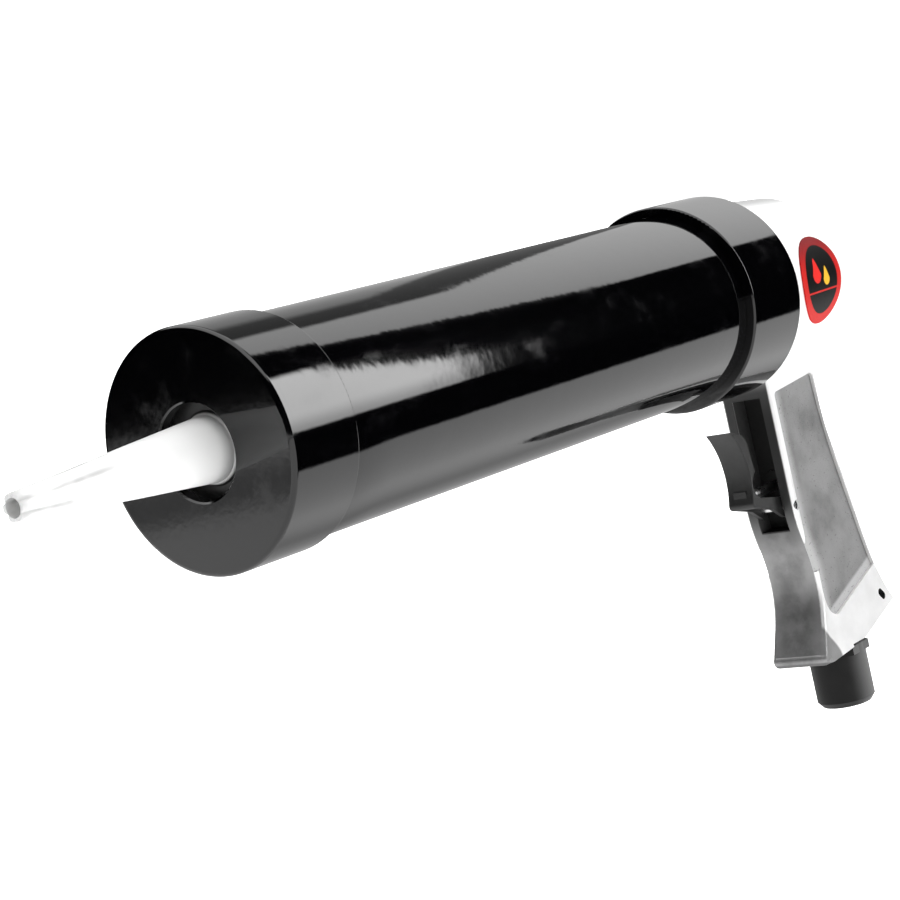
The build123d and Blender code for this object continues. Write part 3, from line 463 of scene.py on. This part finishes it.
def made(name, mesh_data):
    """The finished mesh, its faces turned outwards."""
    bmesh.ops.recalc_face_normals(mesh_data, faces=mesh_data.faces)
    mesh = bpy.data.meshes.new(name)
    mesh_data.to_mesh(mesh)
    mesh_data.free()
    return mesh


def lathe(name, stations, sides, shape):
    """A closed mesh round the barrel's line from (x, radius) stations, each radius passed through shape."""
    mesh_data = bmesh.new()
    rings = []
    for x, radius in stations:
        ring = []
        for side in range(sides):
            angle = 2 * math.pi * side / sides
            r = shape(x, angle, radius)
            ring.append(mesh_data.verts.new((x, r * math.sin(angle), AXIS_Z + r * math.cos(angle))))
        rings.append(ring)
    skin(mesh_data, rings + rings[:1])
    return made(name, mesh_data)


def sharpen(piece, degrees):
    """Keeps edges sharper than this angle crisp."""
    piece.data.set_sharp_from_angle(angle=math.radians(degrees))


def make_barrel():
    """The barrel tube with the cap's thread cut round its front end."""
    pitch = 1.5 * MM
    thread_depth, flank = 0.55 * MM, 0.7
    thread_end = barrel_low.x + 15.5 * MM
    wall = 1.8 * MM
    edge = 0.35 * MM
    rows_per_pitch = 8

    def threaded(x, angle, radius):
        if radius < BARREL_R - 0.5 * wall or x > thread_end:
            return radius
        turn = (x / pitch - angle / (2 * math.pi)) % 1.0
        groove = max(0.0, math.cos(2 * math.pi * turn)) ** flank
        fade_in = min(1.0, (x - barrel_low.x) / pitch)
        fade_out = min(1.0, (thread_end - x) / (1.5 * pitch))
        return radius - thread_depth * groove * max(0.0, min(fade_in, fade_out))

    thread_start = barrel_low.x + edge
    threaded_length = thread_end - thread_start
    rows = round(threaded_length / pitch * rows_per_pitch)
    stations = [(barrel_low.x, BARREL_R - wall + edge), (barrel_low.x, BARREL_R - edge)]
    for row in range(rows + 1):
        stations.append((thread_start + threaded_length * row / rows, BARREL_R))
    plain_length, plain_rows = barrel_high.x - edge - thread_end, 12
    for row in range(1, plain_rows + 1):
        stations.append((thread_end + plain_length * row / plain_rows, BARREL_R))
    stations += [
        (barrel_high.x, BARREL_R - edge),
        (barrel_high.x, BARREL_R - wall + edge),
        (barrel_high.x - edge, BARREL_R - wall),
        (barrel_low.x + edge, BARREL_R - wall),
    ]
    mesh = lathe("barrel_tube", stations, 180, threaded)
    piece = new_piece("barrel_tube", mesh, "gun_body", "black_lacquer", "barrel")
    sharpen(piece, 35)


def make_nozzle():
    """The cartridge's cone nozzle: smooth root, moulded flutes, cut tip, and its end plate inside."""
    low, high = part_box("cartridge_nozzle")
    tip_x = low.x
    tube_r = (high.z - low.z) / 2
    plate_x = tip_x + 60 * MM
    tube_x = plate_x + 2.5 * MM
    root_x = plate_x - 1 * MM
    root_r, tip_r, wall = 7.7 * MM, 3.3 * MM, 1.3 * MM
    fluted = 34 * MM
    flute_depth, narrowness = 0.75 * MM, 5
    rounding = 0.25 * MM

    def fluting(x, angle, radius):
        outer = tip_r + (root_r - tip_r) * (x - tip_x) / (root_x - tip_x)
        if x > root_x or radius < outer - 0.5 * wall:
            return radius
        share = 1 - (x - tip_x) / fluted
        if share <= 0:
            return radius
        valley = abs(math.cos(0.5 * FLUTES * angle)) ** narrowness
        fade_in = min(1.0, 1.6 * share) * (0.25 + 0.75 * share)
        return radius - flute_depth * fade_in * valley

    stations = [(tip_x, tip_r - wall + 0.2 * MM), (tip_x, tip_r - rounding), (tip_x + rounding, tip_r)]
    cone_rows = 48
    for row in range(1, cone_rows + 1):
        share = row / cone_rows
        stations.append((tip_x + (root_x - tip_x) * share, tip_r + (root_r - tip_r) * share))
    skirt_r, skirt_wall = tube_r - 1.15 * MM, 1.2 * MM
    skirt_end_x = tube_x + 6 * MM
    stations += [
        (plate_x, root_r + 1 * MM),
        (plate_x, tube_r),
        (tube_x, tube_r),
        (tube_x, skirt_r),
        (skirt_end_x, skirt_r),
        (skirt_end_x, skirt_r - skirt_wall),
        (tube_x, skirt_r - skirt_wall),
        (tube_x, root_r - wall),
        (root_x, root_r - wall),
    ]
    mesh = lathe("nozzle_cone", stations, 144, fluting)
    piece = new_piece("nozzle_cone", mesh, "gun_body", "nozzle_plastic", "cartridge_nozzle")
    sharpen(piece, 40)


def make_spring(node_name, wire, turns):
    """A coil spring on the gun, wound the full length of its CAD node's box."""
    low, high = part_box(node_name)
    centre = (low + high) / 2
    coil_r = (high.z - low.z) / 2 - wire
    length = high.x - low.x
    steps_per_turn, wire_sides = 28, 10
    steps = turns * steps_per_turn
    along = Vector((1, 0, 0))
    mesh_data = bmesh.new()
    rings = []
    for index in range(steps + 1):
        angle = 2 * math.pi * index / steps_per_turn
        outward = Vector((0, math.sin(angle), math.cos(angle)))
        start = Vector((low.x + wire, centre.y, centre.z))
        middle = start + along * (length - 2 * wire) * index / steps + outward * coil_r
        ring = []
        for side in range(wire_sides):
            around = 2 * math.pi * side / wire_sides
            across = math.cos(around) * outward + math.sin(around) * along
            ring.append(mesh_data.verts.new(middle + wire * across))
        rings.append(ring)
    skin(mesh_data, rings)
    mesh_data.faces.new(rings[0])
    mesh_data.faces.new(rings[-1])
    name = node_name + "_coil"
    piece = new_piece(name, made(name, mesh_data), "gun_body", "spring_steel", node_name)
    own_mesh(piece)


for node_name, node in NODES.items():
    paint(node, SLOT_OF_NODE[node_name])
make_barrel()
make_nozzle()
make_spring("valve_spring", 0.35 * MM, 5)
make_spring("poppet_spring", 0.4 * MM, 6)
make_spring("regulator_spring", 0.8 * MM, 5)


# ---------------------------------------------------------------- stage, light and camera


def make_floor():
    """A wide pale floor well below the gun."""
    floor_z = -0.16
    bpy.ops.mesh.primitive_plane_add(size=60, location=(0, 0, floor_z))
    floor = bpy.context.object
    floor.name = "floor"
    material, tree, shader, at = start_material("floor_paper", roughness=0.9)
    cloud = noise(tree, at.outputs["Object"], 3, 3, 0.5)
    feed(tree, shader, base_color=blend(tree, cloud, grey(0.93), grey(0.96)))
    shader.inputs["Emission Color"].default_value = grey(1)
    shader.inputs["Emission Strength"].default_value = 0.75
    floor.data.materials.append(material)
    floor.visible_glossy = False


def make_studio():
    """Soft studio surroundings: pale floor, large top panel, dark walls and one bright strip panel."""
    world = bpy.data.worlds.new("studio")
    bpy.context.scene.world = world
    world.use_nodes = True
    tree = world.node_tree
    background = tree.nodes["Background"]
    direction = add_node(tree, "ShaderNodeTexCoord").outputs["Generated"]
    x, y, z = split(tree, direction)[:3]
    polar = calc(tree, "DEGREES", calc(tree, "ARCCOSINE", x))
    roll = calc(tree, "DEGREES", calc(tree, "ARCTAN2", z, product(tree, y, -1.0)))
    height = calc(tree, "DEGREES", calc(tree, "ARCSINE", z))

    # behind the gun: floor below, dark gap, top panel that fades away, dark stripe, pale far wall
    under = step(tree, roll, -37.0, -40.5)
    under_level = blend(tree, step(tree, roll, -84.0, -122.0), 1.6, 0.55)
    far_low = step(tree, roll, -138.0, -156.0)
    under_level = blend(tree, far_low, under_level, 0.6)
    widening = product(tree, calc(tree, "MAXIMUM", calc(tree, "SUBTRACT", polar, 34.0), 0.0), 2.9)
    panel_edge = calc(tree, "MINIMUM", calc(tree, "ADD", widening, 54.0), 80.0)
    panel = step(tree, calc(tree, "SUBTRACT", roll, panel_edge), -1.5, 1.5)
    panel_level = blend(tree, step(tree, roll, 60.0, 170.0), 2.5, 0.7)
    slope = calc(tree, "ADD", product(tree, calc(tree, "SUBTRACT", 37.0, polar), 12.0), 114.0)
    stripe_start = calc(tree, "MAXIMUM", slope, 102.0)
    slope = calc(tree, "ADD", product(tree, calc(tree, "SUBTRACT", 39.5, polar), 16.0), 128.0)
    stripe_end = calc(tree, "MAXIMUM", slope, 124.0)
    in_stripe = step(tree, calc(tree, "SUBTRACT", roll, stripe_start), -2.0, 4.0)
    past_stripe = step(tree, calc(tree, "SUBTRACT", roll, stripe_end), -4.0, 8.0)
    panel_level = blend(tree, in_stripe, panel_level, 0.2)
    panel_level = blend(tree, past_stripe, panel_level, 0.65)
    rear = calc(tree, "ADD", product(tree, under, under_level), product(tree, panel, panel_level))

    # the bright strip panel beside the barrel, its edge cut on a slant
    strip_top = calc(tree, "ADD", product(tree, calc(tree, "SUBTRACT", polar, 38.4), 8.0), 24.0)
    strip_top = calc(tree, "MINIMUM", strip_top, 50.0)
    strip = product(tree, step(tree, roll, -5.0, -2.0), step(tree, polar, 37.2, 38.6))
    strip = product(tree, strip, step(tree, calc(tree, "SUBTRACT", roll, strip_top), 3.0, -3.0))
    strip = product(tree, strip, step(tree, polar, 62.0, 56.0))
    strip_level = blend(tree, step(tree, roll, -4.0, 14.0), 4.5, 8.0)
    rear = calc(tree, "ADD", rear, product(tree, strip, strip_level))

    # in front and beside: pale floor with one grey line, dark walls, a panel overhead
    ground = step(tree, height, -2.8, -3.3)
    line = within(tree, height, -5.1, -4.1, 0.15)
    ground_level = blend(tree, line, 1.6, 0.62)
    overhead = step(tree, height, 38.0, 46.0)
    sides = calc(tree, "ADD", product(tree, ground, ground_level), product(tree, overhead, 2.4))

    level = blend(tree, step(tree, polar, 56.0, 72.0), rear, sides)
    seen = add_node(tree, "ShaderNodeLightPath").outputs["Is Camera Ray"]
    level = blend(tree, seen, level, 1.15)
    tree.links.new(level, background.inputs["Strength"])
    background.inputs["Color"].default_value = grey(1)


def add_softbox(name, place, aim, size, power):
    """A large soft fill light that only shades, so the gloss keeps the studio's panels."""
    light = bpy.data.lights.new(name, "AREA")
    light.shape = "RECTANGLE"
    light.size, light.size_y = size
    light.energy = power
    lamp = bpy.data.objects.new(name, light)
    bpy.context.scene.collection.objects.link(lamp)
    lamp.location = place
    lamp.rotation_mode = "QUATERNION"
    lamp.rotation_quaternion = (Vector(aim) - Vector(place)).to_track_quat("-Z", "Y")
    lamp.visible_glossy = False
    lamp.visible_camera = False


def make_camera():
    """A long lens in front of the nozzle, low on the left, rolled a little."""
    heading, tilt, roll = math.radians(38.69), math.radians(-4.85), math.radians(-12.84)
    camera = bpy.data.objects.new("camera", bpy.data.cameras.new("camera"))
    bpy.context.scene.collection.objects.link(camera)
    camera.data.lens = 96.57
    camera.data.sensor_width = 36.0
    camera.data.clip_start = 0.01
    camera.location = (-0.6313, -0.3756, 0.1643)
    turned = Euler((math.pi / 2 + tilt, 0, heading - math.pi / 2)).to_matrix()
    camera.rotation_euler = (turned @ Matrix.Rotation(roll, 3, "Z")).to_euler()
    bpy.context.scene.camera = camera


make_floor()
make_studio()
add_softbox("front_fill", (-1.3, -1.1, 0.9), (-0.1, 0, 0.1), (1.2, 1.2), 7)
make_camera()
bpy.context.scene.view_settings.view_transform = "Standard"
